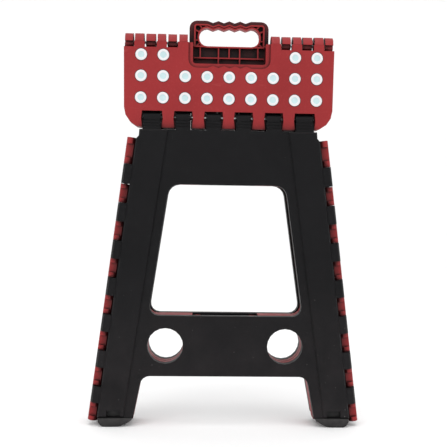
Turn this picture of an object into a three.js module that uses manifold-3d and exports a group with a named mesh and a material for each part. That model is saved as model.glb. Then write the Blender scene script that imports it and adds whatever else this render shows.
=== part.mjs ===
// Folding step stool, folded flat and standing on its feet.
// Millimetres, +Z up. x runs across the stool and the front is -Y. The floor is z = 0, and y = 0 is
// the plane between the front and rear halves. "Depth" is the distance from that plane, so a front
// piece and its rear twin are made by one function, with face = FRONT or REAR.
import * as THREE from 'three';
import { mergeVertices } from 'three/addons/utils/BufferGeometryUtils.js';
import Module from 'manifold-3d';

const wasm = await Module();
wasm.setup();

const FRONT = -1;
const REAR = 1;
const LEFT = -1;
const RIGHT = 1;
const SIDES = [LEFT, RIGHT];

// Hinge lines. Every slanted hinge line of one side meets at the height APEX.
const APEX = 1659;
const LEG_HINGE = { z: 444.4, depth: 7.5 };
const DECK_HINGE = { z: 551.4 };
const SIDE_HINGE = { footX: 190.8, lean: 0.128 };
const CENTRE_HINGE = { footX: 44.535, lean: 0.039835 };

// Pins and barrels
const PIN_RADIUS = 2;
const BORE_RADIUS = 2.7;
const OPEN_BORE_RADIUS = 6.4;
const GAP = 0.5;
const ARC_STEP = 36;
const BORE_SIDES = 6;

// Deck halves
const DECK = { depth: 15, inner: 1.2, skin: 2.8, wall: 2.6, top: 550.8, bottom: 428.4,
  halfTop: 150.3, halfBottom: 148.8 };
const DECK_CORNER = 29;
const DECK_KNUCKLE = { own: 14.4, far: 12.6, slot: 17.6, coreDepth: 8.4, coreLow: 5 };
const REAR_CELLS = [[137.4, 149], [105.5, 119], [75.5, 87.7]];
const FRONT_CELLS = [[122, 134.8], [91, 102.7], [60, 72]];
const CELL_GAP = 1.8;

// Handle tongue of the rear deck half, and the notch it drops into
const HANDLE = { halfWidth: 57.8, reach: 35.9, corner: 11, foot: -11, flange: 6.8, wall: 2.2,
  inner: 2.5 };
const GRIP = { pitch: 15.8, depth: 3, waves: 4, steps: 4 };
const OPENING = { halfWidth: 43.5, low: -2.7, high: 23.5, corner: 11.5 };
const NOTCH = { halfWidth: 52.3, low: -30.4, corner: 4 };
const LEDGE = { depth: 3, play: 0.8, border: 2.4 };

// Grip dots
const DOT = { radius: 8.2, hole: 8.6, pitch: 31.4, proud: 0.5, sides: 6 };
const DOT_ROWS = [{ z: 531.7, columns: [-4, -3, 3, 4] },
  { z: 501.8, columns: [-4, -3, -2, -1, 0, 1, 2, 3, 4] },
  { z: 471.0, columns: [-4, -3, -2, -1, 0, 1, 2, 3, 4] }];
const RUNNER = { near: 10.7, far: 11.9, halfWidth: 1.2, clearance: 0.5 };

// Legs
const LEG = { inner: 11.2, face: 22, railFace: 24.5, skin: 2.6, wall: 2.4, top: 425.6, bottom: 13.4 };
const LEG_EDGE_INSET = 7;
const LEG_KNUCKLES = [{ x: 21.5, width: 20.2, recess: 28 }, { x: 64.8, width: 20.2, recess: 28 },
  { x: 109.3, width: 24.4, recess: 31 }];
const LEG_SLOT = { play: 0.8, floor: 9, back: 3 };
const LEG_KNUCKLE_RADIUS = 6.8;
const WINDOW = { low: 160.2, high: 348.2, halfLow: 110.9, halfHigh: 83.4, cornerLow: 13,
  cornerHigh: 17 };
const ARCH = { high: 73.2, halfHigh: 119, halfLow: 130.5, corner: 14 };
const ROUND_HOLE = { x: 86, z: 116.8, radius: 25.6, sides: 20 };
const CREASE = { top: 84.8, bottom: 143.4 };
const RAIL_CHAMFER = 2.2;
const LEG_RIBS = [254, 386];
const CLIP = { x: 158.7, z: 19, halfWidth: 9.85, halfHeight: 4.65 };

// Side panels
const PANEL = { inner: 1, depth: 10, skin: 2.4, wall: 2.2, top: 413.7, bottom: 8.4, edgeInset: 7.2,
  centreInset: 9.4, windowSetBack: 2.6 };
const PANEL_RIBS = [254, 381];
const SIDE_BARREL = 6.6;
const CENTRE_BARREL = 7.2;
const SIDE_CELLS = { count: 8, first: 20.7, pitch: 50.6, growth: 0.28, halfLength: 13.3,
  topLow: 376.4, topHigh: 414.2 };
const SIDE_CUP = { wallShare: 0.24, floor: 3.4, back: 4.6 };
const CENTRE_BANDS = [{ name: 'upper', low: 352, high: 411 }, { name: 'lower', low: 79, high: 158 }];
const CENTRE_CELLS = 3;

// Feet
const FOOT = { inner: 11.8, face: 24.2, tabLow: 10, tabHigh: 25, tabNear: 13, tabFar: 18.8,
  tabHalf: 12.5 };

const RED = { color: 0xa52c33, roughness: 0.5, metalness: 0 };
const BLACK = { color: 0x232325, roughness: 0.6, metalness: 0 };
const WHITE = { color: 0xeef4f4, roughness: 0.45, metalness: 0 };
const RUBBER = { color: 0x38383a, roughness: 0.85, metalness: 0 };
const STEEL = { color: 0xb9bcc0, roughness: 0.35, metalness: 1 };

const stool = new THREE.Group();

// Outlines, as lists of (x, z) points

const vector = (x, z) => new THREE.Vector2(x, z);

function rounded(corners, steps = 4) {
  const points = [];
  corners.forEach(([x, z, radius = 0], index) => {
    const corner = vector(x, z);
    if (radius === 0) {
      points.push(corner);
      return;
    }
    const toBefore = vector(...corners.at(index - 1)).sub(corner).normalize();
    const toAfter = vector(...corners[(index + 1) % corners.length]).sub(corner).normalize();
    const halfAngle = Math.acos(toBefore.dot(toAfter)) / 2;
    const middle = toBefore.clone().add(toAfter).normalize();
    const centre = corner.clone().addScaledVector(middle, radius / Math.sin(halfAngle));
    const reach = radius / Math.tan(halfAngle);
    const first = corner.clone().addScaledVector(toBefore, reach).sub(centre);
    const last = corner.clone().addScaledVector(toAfter, reach).sub(centre);
    const sweep = Math.atan2(first.cross(last), first.dot(last));
    for (let step = 0; step <= steps; step += 1) {
      points.push(first.clone().rotateAround(vector(0, 0), (sweep * step) / steps).add(centre));
    }
  });
  return points;
}

function symmetric(rightCorners) {
  const leftCorners = rightCorners.map(([x, z, radius]) => [-x, z, radius]).reverse();
  return rightCorners.concat(leftCorners);
}

function inset(outline, distance) {
  const inward = THREE.ShapeUtils.isClockWise(outline) ? -distance : distance;
  return outline.map((point, index) => {
    const before = outline.at(index - 1);
    const after = outline[(index + 1) % outline.length];
    const first = point.clone().sub(before).normalize();
    const second = after.clone().sub(point).normalize();
    const firstNormal = vector(-first.y, first.x);
    const normal = firstNormal.clone().add(vector(-second.y, second.x)).normalize();
    return point.clone().addScaledVector(normal, inward / normal.dot(firstNormal));
  });
}

function circle(x, z, radius, sides) {
  return Array.from({ length: sides }, (_, index) => {
    const angle = (2 * Math.PI * index) / sides;
    return vector(x + radius * Math.cos(angle), z + radius * Math.sin(angle));
  });
}

// Points on an arc about the origin, from one angle in degrees to another.
function arc(radius, from, to) {
  const steps = Math.ceil(Math.abs(to - from) / ARC_STEP);
  return Array.from({ length: steps + 1 }, (_, index) => {
    const angle = ((from + ((to - from) * index) / steps) * Math.PI) / 180;
    return [radius * Math.cos(angle), radius * Math.sin(angle)];
  });
}

function strip(x0, z0, x1, z1, width) {
  const start = vector(x0, z0);
  const along = vector(x1, z1).sub(start).normalize();
  const across = vector(-along.y, along.x).multiplyScalar(width / 2);
  const end = vector(x1, z1);
  const near = [start.clone().sub(across), end.clone().sub(across)];
  return [...near, end.clone().add(across), start.clone().add(across)];
}

// Solids

function solid(geometry) {
  geometry.deleteAttribute('normal');
  geometry.deleteAttribute('uv');
  const merged = mergeVertices(geometry, 1e-4);
  const vertProperties = Float32Array.from(merged.attributes.position.array);
  const triVerts = Uint32Array.from(merged.index.array);
  return new wasm.Manifold(new wasm.Mesh({ numProp: 3, vertProperties, triVerts }));
}

const join = (bodies) => bodies.reduce((whole, body) => whole.add(body));
const cut = (body, tools) => tools.reduce((rest, tool) => rest.subtract(tool), body);

// The y limits of a piece that reaches from one depth to another on one face.
function span(face, near, far) {
  return [face * near, face * far].sort((a, b) => a - b);
}

const around = (middle, half) => [middle - half, middle + half];

function plate(outline, [low, high], holes = [], bevel = 0) {
  const shape = new THREE.Shape(outline);
  const options = { depth: high - low - 2 * bevel, bevelEnabled: bevel > 0, bevelThickness: bevel };
  Object.assign(options, { bevelSize: bevel, bevelOffset: -bevel, bevelSegments: 1 });
  const geometry = new THREE.ExtrudeGeometry(shape, options);
  geometry.rotateX(Math.PI / 2);
  geometry.translate(0, high - bevel, 0);
  return cut(solid(geometry), holes.map((hole) => plate(hole, [low - 1, high + 1])));
}

function block(xRange, yRange, zRange) {
  const [size, middle] = [1, -1].map((sign) => [xRange, yRange, zRange].map(([a, b]) => b - sign * a));
  const geometry = new THREE.BoxGeometry(...size);
  geometry.translate(...middle.map((value) => value / 2));
  return solid(geometry);
}

function rod(start, end, radius, sides) {
  const axis = end.clone().sub(start);
  const geometry = new THREE.CylinderGeometry(radius, radius, axis.length(), sides);
  const up = new THREE.Vector3(0, 1, 0);
  geometry.applyQuaternion(new THREE.Quaternion().setFromUnitVectors(up, axis.normalize()));
  geometry.translate(...start.clone().add(end).multiplyScalar(0.5).toArray());
  return solid(geometry);
}

// A section of (depth, z) points, run along x from one place to another.
function lengthwise(section, face, [x0, x1]) {
  const shape = new THREE.Shape(section.map(([depth, z]) => vector(face * depth, z)));
  const geometry = new THREE.ExtrudeGeometry(shape, { depth: x1 - x0, bevelEnabled: false });
  const axes = [new THREE.Vector3(0, 1, 0), new THREE.Vector3(0, 0, 1), new THREE.Vector3(1, 0, 0)];
  geometry.applyMatrix4(new THREE.Matrix4().makeBasis(...axes));
  geometry.translate(x0, 0, 0);
  return solid(geometry);
}

// A section of (x, y) offsets from a slanted line, run along that line.
function alongLine(section, start, end) {
  const axis = end.clone().sub(start);
  const length = axis.length();
  axis.normalize();
  const across = new THREE.Vector3(1, 0, 0).addScaledVector(axis, -axis.x).normalize();
  const outward = axis.clone().cross(across);
  const shape = new THREE.Shape(section.map(([x, y]) => vector(x, y)));
  const geometry = new THREE.ExtrudeGeometry(shape, { depth: length, bevelEnabled: false });
  geometry.applyMatrix4(new THREE.Matrix4().makeBasis(across, outward, axis));
  geometry.translate(...start.toArray());
  return solid(geometry);
}

function addPart(name, body, finish) {
  const mesh = body.getMesh();
  const geometry = new THREE.BufferGeometry();
  geometry.setAttribute('position', new THREE.BufferAttribute(mesh.vertProperties, 3));
  geometry.setIndex(new THREE.BufferAttribute(mesh.triVerts, 1));
  const part = new THREE.Mesh(geometry, new THREE.MeshStandardMaterial(finish));
  part.name = name;
  stool.add(part);
}

// Hinge lines at a height

function sideHinge(face, side, z) {
  const depth = (LEG_HINGE.depth * (APEX - z)) / (APEX - LEG_HINGE.z);
  return new THREE.Vector3(side * (SIDE_HINGE.footX - SIDE_HINGE.lean * z), face * depth, z);
}

function centreHinge(side, z) {
  return new THREE.Vector3(side * (CENTRE_HINGE.footX - CENTRE_HINGE.lean * z), 0, z);
}

function legHinge(face, x) {
  return new THREE.Vector3(x, face * LEG_HINGE.depth, LEG_HINGE.z);
}

function deckHinge(x) {
  return new THREE.Vector3(x, 0, DECK_HINGE.z);
}

// The z range of each red barrel on a side hinge, from the foot up.
function sideCells() {
  const cells = [];
  for (let index = 0; index < SIDE_CELLS.count - 1; index += 1) {
    const middle = SIDE_CELLS.first + SIDE_CELLS.pitch * index + SIDE_CELLS.growth * index * index;
    cells.push([middle - SIDE_CELLS.halfLength, middle + SIDE_CELLS.halfLength]);
  }
  cells.push([SIDE_CELLS.topLow, SIDE_CELLS.topHigh]);
  return cells;
}

function centreCells(band) {
  const length = (band.high - band.low) / CENTRE_CELLS;
  return Array.from({ length: CENTRE_CELLS }, (_, index) => {
    const low = band.low + index * length;
    return [low + GAP / 2, low + length - GAP / 2];
  });
}

// Legs

const edgeX = (z, insetBy) => SIDE_HINGE.footX - insetBy - SIDE_HINGE.lean * z;

const windowOutline = () => rounded(symmetric([
  [WINDOW.halfHigh, WINDOW.high, WINDOW.cornerHigh],
  [WINDOW.halfLow, WINDOW.low, WINDOW.cornerLow]]));

function roundHole(side) {
  const { x, z, radius, sides } = ROUND_HOLE;
  return circle(side * x, z, radius, sides);
}

const legOutline = () => rounded(symmetric([
  [126.5, LEG.top, 3], [127.2, 416.4], [edgeX(412, LEG_EDGE_INSET), 412],
  [edgeX(LEG.bottom, LEG_EDGE_INSET), LEG.bottom], [ARCH.halfLow, LEG.bottom],
  [ARCH.halfHigh, ARCH.high, ARCH.corner]]));

function legShell(face) {
  const outline = legOutline();
  const holes = [windowOutline(), roundHole(LEFT), roundHole(RIGHT)];
  const wider = holes.map((hole) => inset(hole, -LEG.wall));
  const slab = plate(outline, span(face, LEG.inner, LEG.face), holes);
  const hollow = plate(inset(outline, LEG.wall), span(face, 0, LEG.face - LEG.skin), wider);
  const ribDepths = span(face, LEG.inner + 1, LEG.face - 1);
  const ribArea = plate(inset(outline, 1), ribDepths, holes.map((hole) => inset(hole, -1)));
  const ribs = LEG_RIBS.map((z) => block([-200, 200], span(face, 0, 30), around(z, 1)));
  return slab.subtract(hollow).add(join(ribs).intersect(ribArea));
}

function legRail(face, side) {
  const corners = [[CREASE.top, LEG.top], [126.5, LEG.top], [127.2, 416.4],
    [edgeX(412, LEG_EDGE_INSET), 412],
    [edgeX(LEG.bottom, LEG_EDGE_INSET), LEG.bottom], [CREASE.bottom, LEG.bottom]];
  const outline = rounded(corners.map(([x, z]) => [side * x, z]));
  return plate(outline, span(face, LEG.face - LEG.skin, LEG.railFace), [], RAIL_CHAMFER);
}

// Arm and barrel that carry the deck, with two moulded steps down the face.
function legKnuckle(face, x, width) {
  const range = [x - width / 2, x + width / 2];
  const near = LEG_HINGE.depth;
  const tip = near + LEG_KNUCKLE_RADIUS;
  const barrel = arc(LEG_KNUCKLE_RADIUS, -40, -180).map(([x, z]) => [near - x, LEG_HINGE.z - z]);
  const steps = [[tip, 439.6], [16.4, 438.6], [16.4, 435.2], [18.8, 434], [18.8, 430.8], [LEG.face, 429]];
  const root = [[LEG.face, 422], [LEG.inner, 422], [LEG.inner, 430]];
  return lengthwise([...barrel, ...steps, ...root], face, range);
}

function legSideBarrel(face, side, low, high) {
  const start = sideHinge(face, side, low);
  const end = sideHinge(face, side, high);
  const depth = Math.abs(start.y + end.y) / 2;
  const section = [...arc(SIDE_BARREL, 0, -180), [-SIDE_BARREL, 11.3 - depth], [-8.4, 11.3 - depth],
    [-8.4, 22.4 - depth], [2.4, 22.4 - depth], [SIDE_BARREL - 1.5, 19 - depth]];
  return alongLine(section.map(([x, y]) => [side * x, face * y]), start, end);
}

// The clip slot seen from outside, and the pocket behind it that holds the foot's tab.
function footSockets(face, side) {
  const x = side * CLIP.x;
  const depths = span(face, FOOT.tabNear - GAP, FOOT.tabFar + GAP);
  const pocket = block(around(x, FOOT.tabHalf + GAP), depths, [FOOT.tabLow, FOOT.tabHigh + 1]);
  const slot = block(around(x, CLIP.halfWidth), span(face, 17, 26), around(CLIP.z, CLIP.halfHeight));
  return [pocket, slot];
}

function makeLeg(face) {
  const cells = sideCells();
  const bodies = [legShell(face)];
  const bores = [rod(legHinge(face, -130), legHinge(face, 130), BORE_RADIUS, BORE_SIDES)];
  SIDES.forEach((side) => {
    bodies.push(legRail(face, side));
    LEG_KNUCKLES.forEach(({ x, width }) => bodies.push(legKnuckle(face, side * x, width)));
    for (let index = 1; index < cells.length; index += 1) {
      bodies.push(legSideBarrel(face, side, cells[index - 1][1] + GAP, cells[index][0] - GAP));
    }
    bores.push(rod(sideHinge(face, side, 0), sideHinge(face, side, 430), BORE_RADIUS, BORE_SIDES));
    bores.push(...footSockets(face, side));
  });
  return cut(join(bodies), bores);
}

function makeFoot(face, side) {
  const corners = [[131.2, 13], [133.5, 9, 2], [150, 0, 30], [176, 0, 9], [180.6, 7, 2], [181.2, 13]];
  const outline = rounded(corners.map(([x, z, r]) => [side * x, z, r]));
  const pad = plate(outline, span(face, FOOT.inner, FOOT.face), [], 0.8);
  const { tabLow, tabHigh, tabNear, tabFar, tabHalf } = FOOT;
  const tab = block(around(side * CLIP.x, tabHalf), span(face, tabNear, tabFar), [tabLow, tabHigh]);
  return pad.add(tab);
}

// Side panels

const centreX = (z, insetBy) => CENTRE_HINGE.footX + insetBy - CENTRE_HINGE.lean * z;

function panelOutline(side) {
  const setBack = PANEL.windowSetBack;
  const corners = [
    [edgeX(PANEL.top, PANEL.edgeInset), PANEL.top, 3],
    [edgeX(PANEL.bottom, PANEL.edgeInset), PANEL.bottom],
    [ARCH.halfLow + 0.8, PANEL.bottom], [ARCH.halfHigh, ARCH.high + 1.5, ARCH.corner],
    [centreX(76, PANEL.centreInset), ARCH.high + 1.5], [centreX(160, PANEL.centreInset), WINDOW.low],
    [WINDOW.halfLow + setBack, WINDOW.low, WINDOW.cornerLow],
    [WINDOW.halfHigh + setBack, WINDOW.high, WINDOW.cornerHigh],
    [centreX(348, PANEL.centreInset), WINDOW.high], [centreX(PANEL.top, PANEL.centreInset), PANEL.top]];
  return rounded(corners.map(([x, z, r]) => [side * x, z, r]));
}

function panelShell(face, side) {
  const outline = panelOutline(side);
  const hole = roundHole(side);
  const slab = plate(outline, span(face, PANEL.inner, PANEL.depth), [hole]);
  const depths = span(face, PANEL.inner + PANEL.skin, PANEL.depth + 2);
  const hollow = plate(inset(outline, PANEL.wall), depths, [inset(hole, -PANEL.wall)]);
  const ribDepths = span(face, PANEL.inner + 1, PANEL.depth - 1.5);
  const ribArea = plate(inset(outline, 1), ribDepths, [inset(hole, -1)]);
  const ribs = PANEL_RIBS.map((z) => block([-200, 200], span(face, 0, 20), around(z, 0.9)));
  return slab.subtract(hollow).add(join(ribs).intersect(ribArea));
}

// Barrel on the leg's edge, hollowed from outside as a cup with two end walls.
function panelSideBarrel(face, side, low, high) {
  const start = sideHinge(face, side, low);
  const end = sideHinge(face, side, high);
  const depth = Math.abs(start.y + end.y) / 2;
  const section = [...arc(SIDE_BARREL, -90, 175), [-9, 9.7 - depth], [-9, 1.3 - depth]];
  const barrel = alongLine(section.map(([x, y]) => [side * x, face * y]), start, end);
  const { floor, back } = SIDE_CUP;
  const cup = [[8, floor], [8, 8], [-back, 8], [-back, floor]].map(([x, y]) => [side * x, face * y]);
  const wall = (high - low) * SIDE_CUP.wallShare;
  const hollow = alongLine(cup, sideHinge(face, side, low + wall), sideHinge(face, side, high - wall));
  return barrel.subtract(hollow);
}

function panelCentreBarrel(face, side, low, high) {
  const start = centreHinge(side, low);
  const end = centreHinge(side, high);
  const section = [...arc(CENTRE_BARREL, 60, 360), [11, 1.3], [11, 8.6]];
  return alongLine(section.map(([x, y]) => [side * x, face * y]), start, end);
}

// The centre hinge of the right-hand panels is left open, so its rear bore is wide.
function makePanel(face, side) {
  const bodies = [panelShell(face, side)];
  sideCells().forEach(([low, high]) => bodies.push(panelSideBarrel(face, side, low, high)));
  const ownCell = face === FRONT ? 0 : 1;
  CENTRE_BANDS.forEach((band) => {
    const cells = centreCells(band).filter((_, index) => index % 2 === ownCell);
    cells.forEach(([low, high]) => bodies.push(panelCentreBarrel(face, side, low, high)));
  });
  const centreBore = face === REAR && side === RIGHT ? 4 : BORE_RADIUS;
  const bores = [rod(sideHinge(face, side, 0), sideHinge(face, side, 430), BORE_RADIUS, BORE_SIDES),
    rod(centreHinge(side, 60), centreHinge(side, 430), centreBore, BORE_SIDES)];
  return cut(join(bodies), bores);
}

// Deck halves

const deckOutline = () => rounded(symmetric([
  [DECK.halfTop, DECK.top], [DECK.halfBottom, DECK.bottom, DECK_CORNER]]));

const bothSides = (cells) => cells.concat(cells.map(([low, high]) => [-high, -low]));

// Top edge of the grip: finger dips between the two flat shoulders.
function gripEdge(height) {
  const points = [];
  const half = (GRIP.pitch * GRIP.waves) / 2;
  const count = GRIP.waves * GRIP.steps;
  for (let index = 0; index <= count; index += 1) {
    const x = half - (2 * half * index) / count;
    const dip = (GRIP.depth * (1 - Math.cos((2 * Math.PI * x) / GRIP.pitch))) / 2;
    points.push(vector(x, height - dip));
  }
  return points;
}

// A ring of points round the handle or its opening, with heights measured from the deck hinge.
function handleRing(halfWidth, low, high, cornerTop, cornerLow) {
  const corners = [[0, low], [halfWidth, low, cornerLow], [halfWidth, high, cornerTop], [0, high]];
  const right = rounded(corners).slice(1, -1);
  const left = right.map((point) => vector(-point.x, point.y)).reverse();
  return right.concat(gripEdge(high), left);
}

const lift = (outline) => outline.map((point) => vector(point.x, point.y + DECK_HINGE.z));
const drop = (outline) => outline.map((point) => vector(point.x, DECK_HINGE.z - point.y));

function tongueRing(inward) {
  const { halfWidth, foot, reach, corner } = HANDLE;
  return handleRing(halfWidth - inward, foot + inward, reach - inward, corner - inward, 0);
}

function openingRing(outward) {
  const { halfWidth, low, high, corner } = OPENING;
  const radius = corner + outward;
  return handleRing(halfWidth + outward, low - outward, high + outward, radius, radius);
}

const notchOutline = () => rounded(symmetric([
  [NOTCH.halfWidth, DECK_HINGE.z + 20], [NOTCH.halfWidth, DECK_HINGE.z + NOTCH.low, NOTCH.corner]]));

function hingeKnuckle(face, range) {
  const { own, far } = DECK_KNUCKLE;
  const section = [[0, DECK_HINGE.z - 8], [own - 1, DECK_HINGE.z - 10.2], [own, DECK_HINGE.z - 10.2]];
  const steps = 6;
  for (let step = 0; step <= steps; step += 1) {
    const angle = (Math.PI * step) / steps;
    const radius = own - (own - far) * Math.min(1, (2 * step) / steps);
    section.push([radius * Math.cos(angle), DECK_HINGE.z + radius * Math.sin(angle)]);
  }
  const { coreDepth, coreLow } = DECK_KNUCKLE;
  section.push([-coreDepth, DECK_HINGE.z], [-coreDepth, DECK_HINGE.z - coreLow], [-5, DECK_HINGE.z - 8]);
  return lengthwise(section, face, range);
}

function knuckleSlots(cells) {
  return bothSides(cells).map(([low, high]) => (
    rod(deckHinge(low - CELL_GAP), deckHinge(high + CELL_GAP), DECK_KNUCKLE.slot, 20)));
}

// Slot for one leg knuckle, inside a wider recess that flares out at the hinge.
function legSlot(face, x, { width, recess }) {
  const top = 452.6;
  const flare = [[-recess * 0.41, DECK.bottom - 5], [recess * 0.41, DECK.bottom - 5], [recess / 2, 441],
    [recess * 0.46, top], [-recess * 0.46, top], [-recess / 2, 441]];
  const mouth = plate(flare.map(([dx, z]) => vector(x + dx, z)), span(face, LEG_SLOT.floor, 17));
  const zRange = [DECK.bottom - 5, top];
  return mouth.add(block(around(x, width / 2 + LEG_SLOT.play), span(face, -2, 17), zRange));
}

function recessFloor(face, x, recess) {
  const depths = span(face, LEG_SLOT.back, LEG_SLOT.floor);
  return block(around(x, recess / 2 + 1), depths, [DECK.bottom + 1, 452]);
}

function runnerBars(grow) {
  const half = RUNNER.halfWidth + grow;
  const bars = [];
  DOT_ROWS.slice(1).forEach(({ z }) => bars.push([around(0, 4 * DOT.pitch + half), around(z, half)]));
  SIDES.forEach((side) => {
    const outer = side * 4 * DOT.pitch;
    const inner = side * 3 * DOT.pitch;
    bars.push([around(outer, half), [DOT_ROWS[2].z - half, DOT_ROWS[0].z + half]]);
    bars.push([around(inner, half), [DOT_ROWS[1].z - half, DOT_ROWS[0].z + half]]);
  });
  return bars;
}

function dotCentres() {
  return DOT_ROWS.flatMap(({ z, columns }) => columns.map((column) => [column * DOT.pitch, z]));
}

function makeDots(face) {
  const studs = dotCentres().map(([x, z]) => (
    plate(circle(x, z, DOT.radius, DOT.sides), span(face, RUNNER.near, DECK.depth + DOT.proud))));
  const depths = span(face, RUNNER.near, RUNNER.far);
  const bars = runnerBars(0).map(([xRange, zRange]) => block(xRange, depths, zRange));
  return join(studs.concat(bars));
}

function deckRibs(face) {
  const depths = span(face, 3, 12.6);
  const across = block([-147, 147], depths, around(486.4, 0.8));
  const columns = [-2.5, -0.5, 0.5, 2.5].map((column) => column * DOT.pitch);
  return [across, ...columns.map((x) => block(around(x, 0.8), depths, [452, 512]))];
}

// Shell, ribs, leg-hinge barrel and centre knuckles that both halves share.
function deckBlank(face, ownCells, otherCells) {
  const outline = deckOutline();
  const slab = plate(outline, span(face, DECK.inner, DECK.depth));
  const hollow = plate(inset(outline, DECK.wall), span(face, 0, DECK.depth - DECK.skin));
  const barrel = rod(legHinge(face, -129), legHinge(face, 129), 7, 12);
  const slots = SIDES.flatMap((side) => LEG_KNUCKLES.map((knuckle) => [side * knuckle.x, knuckle]));
  const floors = slots.map(([x, { recess }]) => recessFloor(face, x, recess));
  const body = join([slab.subtract(hollow), barrel, ...deckRibs(face), ...floors]);
  const runnerDepth = span(face, RUNNER.near - RUNNER.clearance, DECK.depth - DECK.skin);
  const paths = runnerBars(RUNNER.clearance);
  const channels = paths.map(([xRange, zRange]) => block(xRange, runnerDepth, zRange));
  const tools = knuckleSlots(otherCells).concat(channels);
  const seats = dotCentres().map(([x, z]) => circle(x, z, DOT.hole, DOT.sides));
  tools.push(...seats.map((seat) => plate(seat, span(face, 9.8, 17))));
  tools.push(...slots.map(([x, knuckle]) => legSlot(face, x, knuckle)));
  tools.push(rod(legHinge(face, -125), legHinge(face, 125), BORE_RADIUS, BORE_SIDES));
  const knuckles = bothSides(ownCells).map((range) => hingeKnuckle(face, range));
  return cut(body, tools).add(join(knuckles));
}

function deckBore(radius) {
  return SIDES.map((side) => rod(deckHinge(side * 56), deckHinge(side * 149.4), radius, BORE_SIDES));
}

// The centre hinge of the deck is left open, so the front half's bores are wide.
function makeFrontDeck() {
  const ledge = drop(tongueRing(-LEDGE.play));
  const notchWall = plate(inset(notchOutline(), -LEDGE.border), span(FRONT, DECK.inner, DECK.depth));
  const trim = block([-80, 80], [-DECK.depth, 0], [500, DECK.top]);
  const ledgeOutline = drop(tongueRing(-LEDGE.play - LEDGE.border));
  const ledgeFloor = plate(ledgeOutline, span(FRONT, DECK.depth - LEDGE.depth - DECK.skin, DECK.depth));
  const body = deckBlank(FRONT, FRONT_CELLS, REAR_CELLS).add(notchWall.add(ledgeFloor).intersect(trim));
  const ledgeCut = plate(ledge, span(FRONT, DECK.depth - LEDGE.depth, DECK.depth + 2));
  const edgeRelief = block([-60, 60], [-2.8, 0], [546, 560]);
  const notch = plate(notchOutline(), [-20, 2]);
  return cut(body, [ledgeCut, edgeRelief, notch, ...deckBore(OPEN_BORE_RADIUS)]);
}

function tongueRibs() {
  const depths = span(REAR, HANDLE.inner + 1, DECK.depth - 1);
  const z = DECK_HINGE.z;
  const lines = [[-51, z - 19.4, 51, z - 19.4], [0, z - 20, 0, z - 4]];
  SIDES.forEach((side) => {
    lines.push([side * 15.4, z - 32, side * 15.4, z - 4], [side * 41.8, z - 20, side * 41.8, z - 4]);
    lines.push([side * 38, z + 22, side * 44, z + 28], [side * 33, z + 23, side * 35, z + 28]);
    lines.push([side * 42, z + 17, side * 50, z + 21], [side * 42, z + 2, side * 50, z - 4]);
    lines.push([side * 44, z + 6, side * 50, z + 6]);
  });
  return lines.map(([x0, z0, x1, z1]) => plate(strip(x0, z0, x1, z1, 1.8), depths));
}

function makeRearDeck() {
  const flange = plate(lift(tongueRing(0)), span(REAR, DECK.depth - DECK.skin, DECK.depth));
  const depths = span(REAR, HANDLE.inner, DECK.depth - 1);
  const inner = lift(tongueRing(HANDLE.flange + HANDLE.wall));
  const wall = plate(lift(tongueRing(HANDLE.flange)), depths, [inner]);
  const rim = plate(lift(openingRing(HANDLE.wall)), depths);
  const clearDepths = span(REAR, 0, DECK.depth - DECK.skin);
  const clear = block([-51, 51], clearDepths, [DECK_HINGE.z - 5, DECK_HINGE.z + 1]);
  const blank = deckBlank(REAR, REAR_CELLS, FRONT_CELLS).subtract(clear);
  const body = join([blank, flange, wall, rim, ...tongueRibs()]);
  return cut(body, [plate(lift(openingRing(0)), [-2, 20]), ...deckBore(BORE_RADIUS)]);
}

// Pins

function makePins() {
  SIDES.forEach((side) => {
    const word = side === LEFT ? 'left' : 'right';
    const ends = [60.5, 148.8].map((x) => deckHinge(side * x));
    addPart(`deck_pin_${word}`, rod(...ends, PIN_RADIUS, BORE_SIDES), STEEL);
    CENTRE_BANDS.forEach(({ name, low, high }) => {
      const [start, end] = [low + 0.5, high - 0.5].map((z) => centreHinge(side, z));
      addPart(`${word}_centre_pin_${name}`, rod(start, end, PIN_RADIUS, BORE_SIDES), STEEL);
    });
  });
  [[FRONT, 'front'], [REAR, 'rear']].forEach(([face, name]) => {
    const legPin = rod(legHinge(face, -124), legHinge(face, 124), PIN_RADIUS, BORE_SIDES);
    addPart(`${name}_leg_pin`, legPin, STEEL);
    SIDES.forEach((side) => {
      const pin = rod(sideHinge(face, side, 11), sideHinge(face, side, 414), PIN_RADIUS, BORE_SIDES);
      addPart(`${name}_${side === LEFT ? 'left' : 'right'}_side_pin`, pin, STEEL);
    });
  });
}

[[FRONT, 'front'], [REAR, 'rear']].forEach(([face, name]) => {
  addPart(`${name}_deck`, face === FRONT ? makeFrontDeck() : makeRearDeck(), RED);
  addPart(`${name}_grip_dots`, makeDots(face), WHITE);
  addPart(`${name}_leg`, makeLeg(face), BLACK);
  SIDES.forEach((side) => {
    const word = side === LEFT ? 'left' : 'right';
    addPart(`${name}_${word}_side_panel`, makePanel(face, side), RED);
    addPart(`${name}_${word}_foot`, makeFoot(face, side), RUBBER);
  });
});
makePins();

export default stool;
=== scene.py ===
# Folding step stool, folded flat and standing on its feet: looks, light and camera around the fixed frame.
import math

import bpy
from mathutils import Matrix, Vector


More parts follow.
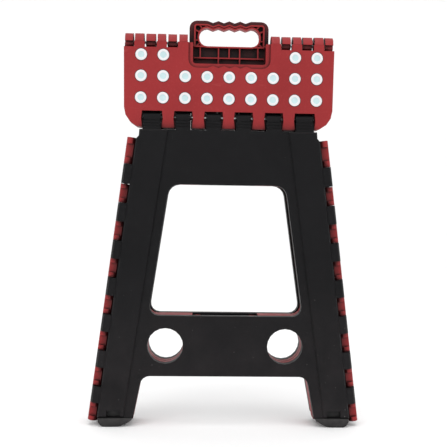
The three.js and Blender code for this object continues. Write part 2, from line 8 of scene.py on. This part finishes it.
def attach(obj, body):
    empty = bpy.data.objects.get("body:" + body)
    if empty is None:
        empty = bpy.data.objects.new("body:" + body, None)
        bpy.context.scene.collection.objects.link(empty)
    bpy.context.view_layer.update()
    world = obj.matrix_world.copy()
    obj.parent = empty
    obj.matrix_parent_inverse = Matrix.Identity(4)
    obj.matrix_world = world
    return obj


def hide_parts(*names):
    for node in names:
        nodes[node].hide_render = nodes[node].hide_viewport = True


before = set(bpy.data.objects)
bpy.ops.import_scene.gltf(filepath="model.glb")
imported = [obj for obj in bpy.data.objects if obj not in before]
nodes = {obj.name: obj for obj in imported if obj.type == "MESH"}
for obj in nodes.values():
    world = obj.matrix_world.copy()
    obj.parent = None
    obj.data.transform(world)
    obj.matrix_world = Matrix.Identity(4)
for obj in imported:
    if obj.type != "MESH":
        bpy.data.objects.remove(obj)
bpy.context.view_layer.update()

MM = 0.001

# Driving sizes, in millimetres, as on the stool's own frame
DECK_FACE = 15.0
DOT_PITCH = 31.4
DOT_ROWS = ((531.7, (-4, -3, 3, 4)), (501.8, range(-4, 5)), (471.0, range(-4, 5)))
DOT_RADIUS = 8.1
DOT_PROUD = 0.5
SHADOW_RING_RADIUS = 8.95
APEX = 1659.0
LEG_HINGE = (7.5, 444.4)
DECK_HINGE_Z = 551.4
SIDE_HINGE_FOOT = 190.8
SIDE_HINGE_LEAN = 0.128
CENTRE_HINGE_FOOT = 44.535
CENTRE_HINGE_LEAN = 0.039835
PIN_RADIUS = 2.0
LEG_KNUCKLES = ((21.5, 20.2), (64.8, 20.2), (109.3, 24.4))
KNUCKLE_RADIUS = 6.75
KNUCKLE_STEPS = ((14.2, 439.6), (16.3, 438.6), (16.3, 435.2), (18.7, 434), (18.7, 430.8), (21.9, 429),
                 (21.9, 422), (11.3, 422), (11.3, 430))
CHEEK = 0.55
LEG_PIN_HALF = 124
SIDE_PIN_ENDS = (11, 414)
DECK_PIN_ENDS = (60.5, 148.8)
CENTRE_PIN_BANDS = (("upper", 352.5, 410.5), ("lower", 79.5, 157.5))
PIN_CHAMFER = 0.4
PIN_SIDES = 28
DOT_SIDES = 40
WELD_REACH = 0.01
DECK_EDGE = 0.45
LEG_EDGE = 0.45
PANEL_EDGE = 0.4
FOOT_EDGE = 0.6
FACES = {"front": -1, "rear": 1}
SIDES = {"left": -1, "right": 1}

# Angles between faces, in degrees: above the first a face is curved, above the second its edge is sharp
CURVED_ANGLE = 3
SHARP_ANGLE = 42

# Depth of the painted recess shade (an ambient occlusion darkening of base colours), in metres
RECESS_REACH = 0.016
RECESS_SAMPLES = 12

# Lights: name, place, target and size in metres, power in watts
LIGHTS = (
    ("top_soft", (0.0, -0.5, 2.1), (0.0, 0.0, 0.35), (1.6, 1.2), 11),
    ("left_soft", (-1.7, -1.7, 1.2), (0.0, 0.0, 0.3), (1.0, 1.4), 7),
    ("right_soft", (1.8, -1.4, 0.9), (0.0, 0.0, 0.3), (1.0, 1.4), 4),
)

# Camera: place in millimetres, angles in degrees
CAMERA_PLACE = (-50.7, -1099.4, 332.2)
CAMERA_YAW = -2.42
CAMERA_PITCH = -2.06
CAMERA_ROLL = 0.93
CAMERA_LENS = 60.9
CAMERA_SENSOR = 36.0
CAMERA_REACH = 50.0


# Materials


class Nodes:
    """Short calls for building one material's node tree."""

    def __init__(self, name):
        self.material = bpy.data.materials.new(name)
        self.material.use_nodes = True
        self.tree = self.material.node_tree
        self.shader = self.tree.nodes["Principled BSDF"]
        self.place = self.tree.nodes.new("ShaderNodeTexCoord").outputs["Object"]

    def add(self, kind, values=None, **settings):
        node = self.tree.nodes.new(kind)
        for key, value in settings.items():
            setattr(node, key, value)
        for key, value in (values or {}).items():
            if isinstance(value, bpy.types.NodeSocket):
                self.tree.links.new(value, node.inputs[key])
            else:
                node.inputs[key].default_value = value
        return node

    def stretched(self, scale):
        return self.add("ShaderNodeMapping", {"Vector": self.place, "Scale": scale}).outputs["Vector"]

    def noise(self, scale, detail=3.0, roughness=0.55, vector=None, distortion=0.0):
        values = {"Vector": vector or self.place, "Scale": scale, "Detail": detail}
        values.update({"Roughness": roughness, "Distortion": distortion})
        return self.add("ShaderNodeTexNoise", values).outputs["Fac"]

    def remap(self, value, low, high, new_low=0.0, new_high=1.0):
        values = {"Value": value, "From Min": low, "From Max": high, "To Min": new_low, "To Max": new_high}
        return self.add("ShaderNodeMapRange", values).outputs["Result"]

    def math(self, operation, first, second):
        return self.add("ShaderNodeMath", {0: first, 1: second}, operation=operation).outputs["Value"]

    def mix(self, factor, first, second):
        node = self.add("ShaderNodeMix", data_type="RGBA")
        for socket, value in ((node.inputs[0], factor), (node.inputs[6], first), (node.inputs[7], second)):
            if isinstance(value, bpy.types.NodeSocket):
                self.tree.links.new(value, socket)
            else:
                socket.default_value = value
        return node.outputs[2]

    def tone(self, scale, detail, dark, light):
        """A base colour that drifts between two tones."""
        return self.mix(self.remap(self.noise(scale, detail), 0.3, 0.7), dark, light)

    def part_of(self, vector, axis):
        return self.add("ShaderNodeSeparateXYZ", {"Vector": vector}).outputs[axis]

    def painted_recess_shade(self, low, high, deepest):
        """Painted shade from an ambient occlusion node: 1 on open faces, down to the deepest value in
        pockets, slots and rib cells.
        """
        values = {"Distance": RECESS_REACH}
        hidden = self.add("ShaderNodeAmbientOcclusion", values, samples=RECESS_SAMPLES).outputs["AO"]
        return self.remap(hidden, low, high, deepest, 1.0)

    def underside_shade_mask(self, face):
        """Mask of painted shade on the hollow side of a moulding: faces that look inward, deep between the
        ribs.
        """
        normal = self.place.node.outputs["Normal"]
        inward = self.remap(self.part_of(normal, "Y"), 0.3 * -face, 0.8 * -face)
        deep = self.remap(self.part_of(self.place, "Y"), 0.0036 * face, 0.0075 * face)
        return self.math("MULTIPLY", inward, deep)

    def shaded(self, colour, factor):
        grey = self.add("ShaderNodeCombineColor", {0: factor, 1: factor, 2: factor}).outputs["Color"]
        node = self.add("ShaderNodeMix", data_type="RGBA", blend_type="MULTIPLY")
        node.inputs[0].default_value = 1.0
        self.tree.links.new(colour, node.inputs[6])
        self.tree.links.new(grey, node.inputs[7])
        return node.outputs[2]

    def bump(self, height, strength, distance, normal=None):
        values = {"Height": height, "Strength": strength, "Distance": distance}
        if normal is not None:
            values["Normal"] = normal
        return self.add("ShaderNodeBump", values).outputs["Normal"]

    def finish(self, colour, roughness, normal, **constants):
        self.tree.links.new(colour, self.shader.inputs["Base Color"])
        self.tree.links.new(roughness, self.shader.inputs["Roughness"])
        self.tree.links.new(normal, self.shader.inputs["Normal"])
        for key, value in constants.items():
            self.shader.inputs[key.replace("_", " ")].default_value = value
        return self.material


def moulded_grain(build, scale, strength):
    """Fine stipple of a textured mould over the slow waviness of a large moulding."""
    waves = build.bump(build.noise(14.0, 2.0), 0.25, 0.0006)
    stipple = build.noise(scale, 2.0, 0.6)
    return build.bump(stipple, strength, 0.00012, waves)


def red_plastic(name, face=None):
    build = Nodes(name)
    base = build.tone(9.0, 4.0, (0.235, 0.0135, 0.0155, 1), (0.290, 0.0185, 0.0205, 1))
    mottle = build.remap(build.noise(260.0, 3.0), 0.55, 0.8, 0.0, 0.35)
    base = build.mix(mottle, base, (0.37, 0.042, 0.044, 1))
    rubs = build.noise(38.0, 6.0, 0.7, build.stretched((1.0, 1.0, 7.0)), 0.6)
    rub_mask = build.remap(rubs, 0.62, 0.74, 0.0, 0.35)
    base = build.mix(rub_mask, base, (0.42, 0.085, 0.082, 1))
    if face is not None:
        # Painted shade: inward faces deep in the hollow underside are darkened towards near black maroon
        underside_shade = build.math("MULTIPLY", build.underside_shade_mask(face), 0.82)
        base = build.mix(underside_shade, base, (0.040, 0.0045, 0.0065, 1))
    # Painted shade: base colour darkened in pockets, slots and rib cells by ambient occlusion
    base = build.shaded(base, build.painted_recess_shade(0.42, 0.94, 0.12))
    roughness = build.remap(build.noise(60.0, 4.0), 0.25, 0.75, 0.40, 0.58)
    normal = moulded_grain(build, 1500.0, 0.28)
    return build.finish(base, roughness, normal, Specular_IOR_Level=0.24)


def black_plastic():
    build = Nodes("black_polypropylene")
    base = build.tone(8.0, 4.0, (0.0028, 0.0028, 0.0034, 1), (0.0048, 0.0048, 0.0056, 1))
    scratch = build.noise(120.0, 5.0, 0.75, build.stretched((6.0, 6.0, 0.35)), 0.3)
    scratch_mask = build.remap(scratch, 0.66, 0.72, 0.0, 0.30)
    base = build.mix(scratch_mask, base, (0.05, 0.05, 0.05, 1))
    near_floor = build.remap(build.part_of(build.place, "Z"), 0.24, 0.0, 0.10, 1.0)
    patches = build.remap(build.noise(22.0, 6.0, 0.65), 0.35, 0.75, 0.25, 1.0)
    dust = build.math("MULTIPLY", build.math("MULTIPLY", near_floor, patches), 0.32)
    base = build.mix(dust, base, (0.060, 0.050, 0.052, 1))
    specks = build.remap(build.noise(420.0, 2.0, 0.5), 0.755, 0.79, 0.0, 0.6)
    base = build.mix(build.math("MULTIPLY", specks, near_floor), base, (0.45, 0.43, 0.42, 1))
    # Painted shade: base colour darkened in pockets and slots by ambient occlusion
    base = build.shaded(base, build.painted_recess_shade(0.30, 0.92, 0.3))
    roughness = build.remap(build.noise(45.0, 4.0), 0.25, 0.75, 0.42, 0.62)
    normal = moulded_grain(build, 1300.0, 0.38)
    return build.finish(base, roughness, normal, Specular_IOR_Level=0.13)


def white_grip():
    build = Nodes("white_grip_rubber")
    tint = build.tone(70.0, 4.0, (0.68, 0.665, 0.68, 1), (0.74, 0.72, 0.735, 1))
    grime = build.remap(build.noise(300.0, 5.0, 0.7), 0.6, 0.82, 0.0, 0.35)
    base = build.mix(grime, tint, (0.52, 0.49, 0.47, 1))
    roughness = build.remap(build.noise(150.0, 3.0), 0.3, 0.7, 0.45, 0.62)
    normal = build.bump(build.noise(1800.0, 2.0), 0.2, 0.0001)
    return build.finish(base, roughness, normal)


def pale_centre():
    build = Nodes("grip_centre_rubber")
    base = build.tone(90.0, 4.0, (0.45, 0.60, 0.62, 1), (0.51, 0.66, 0.68, 1))
    roughness = build.remap(build.noise(170.0, 3.0), 0.3, 0.7, 0.5, 0.66)
    normal = build.bump(build.noise(1800.0, 2.0), 0.2, 0.0001)
    return build.finish(base, roughness, normal)


def shadow_ring():
    build = Nodes("painted_dot_groove_shadow")
    # Painted shadow: near black maroon for the shaded groove around each grip stud
    base = build.tone(200.0, 3.0, (0.045, 0.006, 0.010, 1), (0.07, 0.010, 0.014, 1))
    roughness = build.remap(build.noise(150.0, 3.0), 0.3, 0.7, 0.5, 0.7)
    return build.finish(base, roughness, build.bump(build.noise(1500.0, 2.0), 0.2, 0.0001))


def foot_rubber():
    build = Nodes("foot_rubber")
    base = build.tone(40.0, 5.0, (0.016, 0.0155, 0.016, 1), (0.030, 0.028, 0.028, 1))
    dust = build.remap(build.noise(160.0, 6.0, 0.7), 0.45, 0.8, 0.0, 0.5)
    base = build.mix(dust, base, (0.075, 0.066, 0.064, 1))
    # Painted shade: base colour darkened in the clip slot and other recesses by ambient occlusion
    base = build.shaded(base, build.painted_recess_shade(0.5, 0.95, 0.12))
    roughness = build.remap(build.noise(90.0, 4.0), 0.25, 0.75, 0.7, 0.9)
    return build.finish(base, roughness, build.bump(build.noise(900.0, 3.0), 0.4, 0.00015))


def drawn_steel():
    build = Nodes("drawn_steel")
    lines = build.noise(60.0, 4.0, 0.6, build.stretched((0.4, 30.0, 30.0)))
    base = build.mix(build.remap(lines, 0.3, 0.7), (0.46, 0.46, 0.47, 1), (0.62, 0.62, 0.63, 1))
    roughness = build.remap(build.noise(140.0, 4.0), 0.3, 0.7, 0.28, 0.45)
    return build.finish(base, roughness, build.bump(lines, 0.15, 0.00005), Metallic=1.0)


def studio_white():
    build = Nodes("studio_white")
    base = build.tone(1.5, 3.0, (0.975, 0.975, 0.975, 1), (0.985, 0.985, 0.985, 1))
    roughness = build.remap(build.noise(4.0, 3.0), 0.3, 0.7, 0.8, 0.9)
    return build.finish(base, roughness, build.bump(build.noise(200.0, 2.0), 0.03, 0.0005))


FRONT_RED = red_plastic("front_red_polypropylene", -1)
REAR_RED = red_plastic("rear_red_polypropylene", 1)
DECK_RED = {-1: FRONT_RED, 1: REAR_RED}
PANEL_RED = red_plastic("panel_red_polypropylene")
BLACK = black_plastic()
WHITE = white_grip()
CENTRE = pale_centre()
RING = shadow_ring()
RUBBER = foot_rubber()
STEEL = drawn_steel()


# CAD nodes that stay: softened edges and a finished material


def curved_faces(mesh):
    """Indices of the faces that meet a neighbour at a shallow angle, as round barrels and corners do."""
    places = [tuple(round(value / (WELD_REACH * MM)) for value in vertex.co) for vertex in mesh.vertices]
    beside = {}
    for polygon in mesh.polygons:
        corners = [places[index] for index in polygon.vertices]
        for start, end in zip(corners, corners[1:] + corners[:1]):
            beside.setdefault(frozenset((start, end)), []).append(polygon)
    curved = set()
    for pair in beside.values():
        if len(pair) == 2:
            angle = pair[0].normal.angle(pair[1].normal, 0.0)
            if math.radians(CURVED_ANGLE) < angle < math.radians(SHARP_ANGLE):
                curved.update(polygon.index for polygon in pair)
    return curved


def soften(obj, width):
    """Merges the split corners, rounds the sharp edges and shades the faceted barrels smoothly."""
    curved = curved_faces(obj.data)
    weld = obj.modifiers.new("weld", "WELD")
    weld.merge_threshold = WELD_REACH * MM
    bevel = obj.modifiers.new("bevel", "BEVEL")
    bevel.width = width * MM
    bevel.segments = 2
    bevel.limit_method = "ANGLE"
    bevel.angle_limit = math.radians(SHARP_ANGLE)
    normals = obj.modifiers.new("normals", "WEIGHTED_NORMAL")
    normals.weight = 100
    for polygon in obj.data.polygons:
        polygon.use_smooth = polygon.index in curved


def finish_node(name, material, width):
    obj = nodes[name]
    obj.data.materials.clear()
    obj.data.materials.append(material)
    soften(obj, width)


# New pieces


def new_piece(name, vertices, faces, materials, body, replaced=()):
    mesh = bpy.data.meshes.new(name)
    mesh.from_pydata([Vector(v) * MM for v in vertices], [], [f[0] for f in faces])
    for material in materials:
        mesh.materials.append(material)
    for polygon, face in zip(mesh.polygons, faces):
        polygon.material_index = face[1]
        polygon.use_smooth = True
    obj = bpy.data.objects.new(name, mesh)
    bpy.context.scene.collection.objects.link(obj)
    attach(obj, body)
    if replaced:
        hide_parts(*replaced)
    return obj


def turned(profile, place, axis, sides, vertices, faces):
    """Adds a solid of revolution: profile points are (distance along the axis, radius, material)."""
    axis = Vector(axis).normalized()
    across = axis.orthogonal().normalized()
    upward = axis.cross(across)
    start = len(vertices)
    for along, radius, _ in profile:
        for side in range(sides):
            angle = 2 * math.pi * side / sides
            spoke = across * math.cos(angle) + upward * math.sin(angle)
            vertices.append(Vector(place) + axis * along + spoke * radius)
    for ring in range(len(profile) - 1):
        for side in range(sides):
            a = start + ring * sides + side
            b = start + ring * sides + (side + 1) % sides
            faces.append(((a, b, b + sides, a + sides), profile[ring + 1][2]))
    last = start + (len(profile) - 1) * sides
    faces.append((tuple(range(start + sides - 1, start - 1, -1)), profile[0][2]))
    faces.append((tuple(range(last, last + sides)), profile[-1][2]))


def dot_places(face):
    return [(column * DOT_PITCH, face * DECK_FACE, z) for z, columns in DOT_ROWS for column in columns]


def make_dots(word, face):
    """Grip studs with a rounded rim and a shallow dished centre, each in a dark ring of painted shadow for
    the groove around it.
    """
    top = DOT_PROUD
    profile = [(-3.0, DOT_RADIUS - 0.5, 0), (-0.2, DOT_RADIUS, 0), (top - 0.3, DOT_RADIUS, 0),
               (top - 0.08, DOT_RADIUS - 0.22, 0), (top, DOT_RADIUS - 0.6, 0), (top, 5.0, 0),
               (top - 0.05, 4.7, 0), (top - 0.22, 4.5, 1), (top - 0.34, 3.0, 1), (top - 0.38, 0.4, 1)]
    vertices, faces = [], []
    for place in dot_places(face):
        turned(profile, place, (0, face, 0), DOT_SIDES, vertices, faces)
    new_piece(f"{word}_dot_studs", vertices, faces, (WHITE, CENTRE), f"{word}_deck",
              (f"{word}_grip_dots",))
    # Painted shadow: a thin dark ring laid on the deck face round each stud where its groove is in shade
    shadow_ring_profile = [(-1.2, SHADOW_RING_RADIUS, 0), (0.04, SHADOW_RING_RADIUS, 0), (0.04, DOT_RADIUS - 0.4, 0),
            (-0.6, DOT_RADIUS - 0.6, 0)]
    vertices, faces = [], []
    for place in dot_places(face):
        turned(shadow_ring_profile, place, (0, face, 0), DOT_SIDES, vertices, faces)
    new_piece(f"{word}_dot_groove_shadows", vertices, faces, (RING,), f"{word}_deck")


def make_pin(name, start, end, body):
    """A round pin with chamfered ends in place of the frame's faceted one."""
    axis = Vector(end) - Vector(start)
    length = axis.length
    tip = PIN_RADIUS - PIN_CHAMFER
    profile = [(0, tip, 0), (PIN_CHAMFER, PIN_RADIUS, 0),
               (length - PIN_CHAMFER, PIN_RADIUS, 0), (length, tip, 0)]
    vertices, faces = [], []
    turned(profile, start, axis, PIN_SIDES, vertices, faces)
    new_piece(name + "_rod", vertices, faces, (STEEL,), body, (name,))


def knuckle_section():
    """Outline of a leg knuckle in (depth, height): barrel, moulded steps down the face, root."""
    depth, z = LEG_HINGE
    points = []
    for step in range(9):
        angle = math.radians(40 + 140 * step / 8)
        points.append((depth - KNUCKLE_RADIUS * math.cos(angle), z + KNUCKLE_RADIUS * math.sin(angle)))
    points.reverse()
    return points + list(KNUCKLE_STEPS)


def make_cheeks(word, face):
    """Thin side faces that close the gap between each leg knuckle and its slot in the deck."""
    section = knuckle_section()
    count = len(section)
    vertices, faces = [], []
    for side in SIDES.values():
        for middle, width in LEG_KNUCKLES:
            for outward in (-1, 1):
                start = len(vertices)
                near = side * middle + outward * width / 2
                ends = sorted((near, near + outward * CHEEK))
                vertices += [(x, face * depth, z) for x in ends for depth, z in section]
                loop = list(range(start, start + count))
                faces.append((tuple(loop), 0))
                faces.append((tuple(index + count for index in reversed(loop)), 0))
                for a, b in zip(loop, loop[1:] + loop[:1]):
                    faces.append(((a, a + count, b + count, b), 0))
    if face < 0:
        faces = [(tuple(reversed(corners)), slot) for corners, slot in faces]
    cheeks = new_piece(f"{word}_knuckle_cheeks", vertices, faces, (BLACK,), f"{word}_leg")
    for polygon in cheeks.data.polygons:
        polygon.use_smooth = False


def side_hinge(face, side, z):
    depth = LEG_HINGE[0] * (APEX - z) / (APEX - LEG_HINGE[1])
    return (side * (SIDE_HINGE_FOOT - SIDE_HINGE_LEAN * z), face * depth, z)


def centre_hinge(side, z):
    return (side * (CENTRE_HINGE_FOOT - CENTRE_HINGE_LEAN * z), 0, z)


def make_pins():
    for word, face in FACES.items():
        ends = [(x, face * LEG_HINGE[0], LEG_HINGE[1]) for x in (-LEG_PIN_HALF, LEG_PIN_HALF)]
        make_pin(f"{word}_leg_pin", ends[0], ends[1], f"{word}_leg")
        for hand, side in SIDES.items():
            ends = [side_hinge(face, side, z) for z in SIDE_PIN_ENDS]
            make_pin(f"{word}_{hand}_side_pin", ends[0], ends[1], f"{word}_leg")
    for hand, side in SIDES.items():
        ends = [(side * x, 0, DECK_HINGE_Z) for x in DECK_PIN_ENDS]
        make_pin(f"deck_pin_{hand}", ends[0], ends[1], "rear_deck")
        for band, low, high in CENTRE_PIN_BANDS:
            name = f"{hand}_centre_pin_{band}"
            make_pin(name, centre_hinge(side, low), centre_hinge(side, high), f"front_{hand}_side")


for word, face in FACES.items():
    finish_node(f"{word}_deck", DECK_RED[face], DECK_EDGE)
    finish_node(f"{word}_leg", BLACK, LEG_EDGE)
    make_dots(word, face)
    make_cheeks(word, face)
    for hand in SIDES:
        finish_node(f"{word}_{hand}_side_panel", PANEL_RED, PANEL_EDGE)
        finish_node(f"{word}_{hand}_foot", RUBBER, FOOT_EDGE)
make_pins()


# Studio


def make_stage():
    """A white floor that curves up into a white backdrop."""
    near, far, radius, width, height = -30000.0, 2500.0, 1500.0, 30000.0, 6000.0
    section = [(near, 0.0)]
    for step in range(17):
        angle = math.pi / 2 * step / 16
        section.append((far + radius * math.sin(angle), radius - radius * math.cos(angle)))
    section.append((far + radius, height))
    vertices = [(x, y, z) for y, z in section for x in (-width, width)]
    faces = [(2 * i, 2 * i + 1, 2 * i + 3, 2 * i + 2) for i in range(len(section) - 1)]
    mesh = bpy.data.meshes.new("floor")
    mesh.from_pydata([Vector(v) * MM for v in vertices], [], faces)
    mesh.materials.append(studio_white())
    floor = bpy.data.objects.new("floor", mesh)
    for polygon in mesh.polygons:
        polygon.use_smooth = True
    bpy.context.scene.collection.objects.link(floor)


def make_light(name, place, target, size, power):
    light = bpy.data.lights.new(name, "AREA")
    light.shape = "RECTANGLE"
    light.size, light.size_y = size
    light.energy = power
    obj = bpy.data.objects.new(name, light)
    obj.location = place
    obj.rotation_euler = (Vector(target) - Vector(place)).to_track_quat("-Z", "Y").to_euler()
    bpy.context.scene.collection.objects.link(obj)


def make_camera():
    yaw, pitch, roll = (math.radians(a) for a in (CAMERA_YAW, CAMERA_PITCH, CAMERA_ROLL))
    aim = Matrix.Rotation(yaw, 3, "Z") @ Matrix.Rotation(pitch, 3, "X")
    right, ahead, up = aim.col[0], aim.col[1], aim.col[2]
    level_right = right * math.cos(roll) + up * math.sin(roll)
    level_up = up * math.cos(roll) - right * math.sin(roll)
    turn = Matrix((level_right, level_up, -ahead)).transposed()
    camera = bpy.data.objects.new("camera", bpy.data.cameras.new("camera"))
    camera.data.lens = CAMERA_LENS
    camera.data.sensor_width = CAMERA_SENSOR
    camera.data.clip_end = CAMERA_REACH
    camera.matrix_world = Matrix.Translation(Vector(CAMERA_PLACE) * MM) @ turn.to_4x4()
    bpy.context.scene.collection.objects.link(camera)
    bpy.context.scene.camera = camera


def make_world():
    world = bpy.data.worlds.new("studio")
    world.use_nodes = True
    world.node_tree.nodes["Background"].inputs["Color"].default_value = (1.0, 1.0, 1.0, 1)
    world.node_tree.nodes["Background"].inputs["Strength"].default_value = 1.0
    bpy.context.scene.world = world
    bpy.context.scene.view_settings.view_transform = "Standard"


make_stage()
make_world()
for light in LIGHTS:
    make_light(*light)
make_camera()
